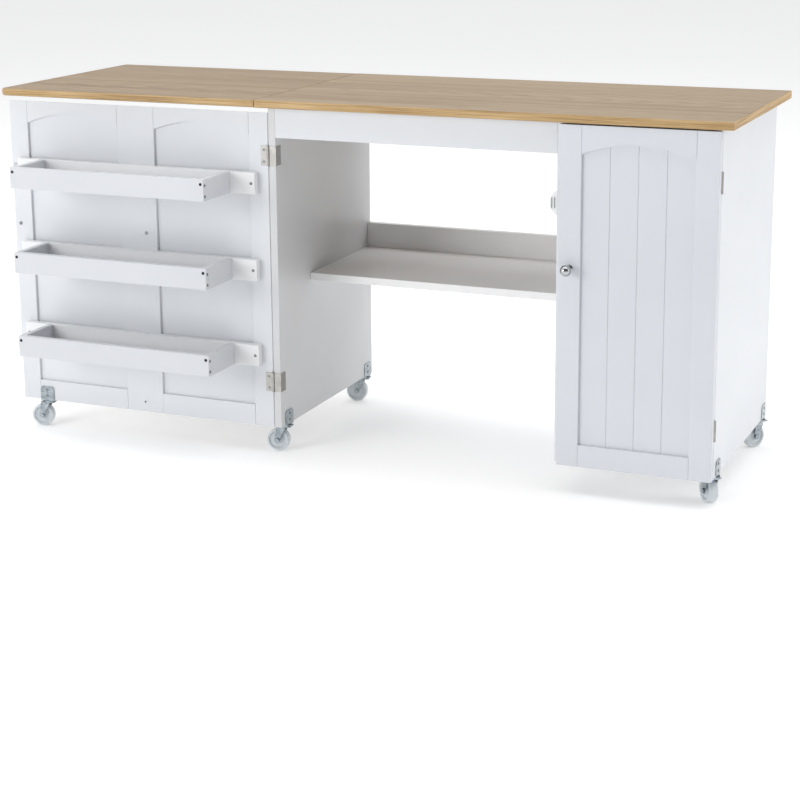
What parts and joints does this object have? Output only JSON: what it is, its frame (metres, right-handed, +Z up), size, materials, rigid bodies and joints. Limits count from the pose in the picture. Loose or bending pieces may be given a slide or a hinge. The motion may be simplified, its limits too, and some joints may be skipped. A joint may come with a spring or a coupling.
{
  "type": "folding sewing table",
  "caption": "Folding sewing table with a drop leaf, a double door that carries storage bins and holds the leaf up, a cupboard, a kneehole shelf and swivel casters.",
  "frame": {"origin": "middle of the whole table on the floor, leaf raised and double door open", "axes": "+X to the user's right along the length, towards the cupboard; +Y from the front to the back; +Z up"},
  "size_m": [1.502, 0.5878, 0.71],
  "materials": {
    "oak_laminate": "light oak laminate, satin, grain along the length",
    "white_board": "cool white satin paint or foil on board",
    "nickel_hinge": "nickel plated steel",
    "zinc_bracket": "zinc plated pressed steel",
    "wheel_plastic": "pale translucent grey plastic",
    "chrome_knob": "bright chrome",
    "catch_plastic": "white moulded plastic",
    "catch_steel": "dull grey steel",
    "screw_steel": "grey steel with a cross recess"
  },
  "bodies": {
    "frame": {"fixed_top": "oak_laminate", "left_side_panel": "white_board", "aprons": "white_board", "kneehole_shelf": "white_board", "shelf_back_rail": "white_board", "cabinet_inner_panel": "white_board", "cabinet_outer_panel": "white_board", "cabinet_bottom": "white_board", "cabinet_back": "white_board", "cabinet_shelves": "white_board", "shelf_pins": "screw_steel", "door_hinge_frame_leaves": "nickel_hinge", "leaf_hinge_top_halves": "nickel_hinge", "hinge_pins": "nickel_hinge", "frame_caster_brackets": "zinc_bracket", "magnetic_catches": "catch_plastic", "catch_pole_plates": "catch_steel", "frame_screws": "screw_steel"},
    "leaf": {"drop_leaf": "oak_laminate", "leaf_hinge_leaf_halves": "nickel_hinge"},
    "double_door": {"double_door_free_stile": "white_board", "double_door_middle_stile": "white_board", "double_door_hinge_stile": "white_board", "double_door_top_rails": "white_board", "double_door_bottom_rails": "white_board", "double_door_panels": "white_board", "double_door_hinge_leaves": "nickel_hinge", "double_door_knobs": "chrome_knob", "double_door_strike_plate": "catch_steel", "double_door_screws": "screw_steel", "door_caster_bracket": "zinc_bracket", "bin_1_back_rail": "white_board", "bin_1_front_rail": "white_board", "bin_1_sides": "white_board", "bin_1_bottom": "white_board", "bin_2_back_rail": "white_board", "bin_2_front_rail": "white_board", "bin_2_sides": "white_board", "bin_2_bottom": "white_board", "bin_3_back_rail": "white_board", "bin_3_front_rail": "white_board", "bin_3_sides": "white_board", "bin_3_bottom": "white_board"},
    "cabinet_door": {"cabinet_door_stiles": "white_board", "cabinet_door_top_rail": "white_board", "cabinet_door_bottom_rail": "white_board", "cabinet_door_panel": "white_board", "cabinet_door_knob": "chrome_knob", "cabinet_door_hinge_leaves": "nickel_hinge", "cabinet_door_strike_plate": "catch_steel"},
    "caster_fork_left_front": {"caster_fork_left_front": "zinc_bracket"},
    "caster_wheel_left_front": {"caster_wheel_left_front": "wheel_plastic"},
    "caster_fork_left_rear": {"caster_fork_left_rear": "zinc_bracket"},
    "caster_wheel_left_rear": {"caster_wheel_left_rear": "wheel_plastic"},
    "caster_fork_right_front": {"caster_fork_right_front": "zinc_bracket"},
    "caster_wheel_right_front": {"caster_wheel_right_front": "wheel_plastic"},
    "caster_fork_right_rear": {"caster_fork_right_rear": "zinc_bracket"},
    "caster_wheel_right_rear": {"caster_wheel_right_rear": "wheel_plastic"},
    "caster_fork_door": {"caster_fork_door": "zinc_bracket"},
    "caster_wheel_door": {"caster_wheel_door": "wheel_plastic"}
  },
  "joints": [
    {"name": "double_door_swing", "type": "hinge", "parent": "frame", "child": "double_door", "pos_m": [-0.1555, -0.1733, 0.375], "axis": [0, 0, 1], "range_deg": [0, 180]},
    {"name": "leaf_fold", "type": "hinge", "parent": "frame", "child": "leaf", "pos_m": [-0.175, 0.05, 0.692], "axis": [0, -1, 0], "range_deg": [0, 90]},
    {"name": "cabinet_door_swing", "type": "hinge", "parent": "frame", "child": "cabinet_door", "pos_m": [0.7285, -0.1733, 0.375], "axis": [0, 0, 1], "range_deg": [0, 180]},
    {"name": "left_front_caster_swivel", "type": "hinge", "parent": "frame", "child": "caster_fork_left_front", "pos_m": [-0.1475, -0.1391, 0.055], "axis": [0, 0, 1], "continuous": true},
    {"name": "left_front_wheel_spin", "type": "hinge", "parent": "caster_fork_left_front", "child": "caster_wheel_left_front", "pos_m": [-0.16242, -0.14067, 0.023], "axis": [0.1045, -0.9945, 0], "continuous": true},
    {"name": "left_rear_caster_swivel", "type": "hinge", "parent": "frame", "child": "caster_fork_left_rear", "pos_m": [-0.1475, 0.2439, 0.055], "axis": [0, 0, 1], "continuous": true},
    {"name": "left_rear_wheel_spin", "type": "hinge", "parent": "caster_fork_left_rear", "child": "caster_wheel_left_rear", "pos_m": [-0.16227, 0.2413, 0.023], "axis": [0.1736, -0.9848, 0], "continuous": true},
    {"name": "right_front_caster_swivel", "type": "hinge", "parent": "frame", "child": "caster_fork_right_front", "pos_m": [0.7205, -0.1391, 0.055], "axis": [0, 0, 1], "continuous": true},
    {"name": "right_front_wheel_spin", "type": "hinge", "parent": "caster_fork_right_front", "child": "caster_wheel_right_front", "pos_m": [0.71066, -0.12778, 0.023], "axis": [-0.7547, -0.6561, 0], "continuous": true},
    {"name": "right_rear_caster_swivel", "type": "hinge", "parent": "frame", "child": "caster_fork_right_rear", "pos_m": [0.7205, 0.2439, 0.055], "axis": [0, 0, 1], "continuous": true},
    {"name": "right_rear_wheel_spin", "type": "hinge", "parent": "caster_fork_right_rear", "child": "caster_wheel_right_rear", "pos_m": [0.7119, 0.23161, 0.023], "axis": [0.8192, -0.5736, 0], "continuous": true},
    {"name": "door_caster_swivel", "type": "hinge", "parent": "double_door", "child": "caster_fork_door", "pos_m": [-0.686, -0.1646, 0.055], "axis": [0, 0, 1], "continuous": true},
    {"name": "door_wheel_spin", "type": "hinge", "parent": "caster_fork_door", "child": "caster_wheel_door", "pos_m": [-0.70067, -0.16772, 0.023], "axis": [0.2079, -0.9781, 0], "continuous": true}
  ],
  "couplings": [
    {"joint": "leaf_fold", "follows": "double_door_swing", "ratio": 0.5}
  ]
}
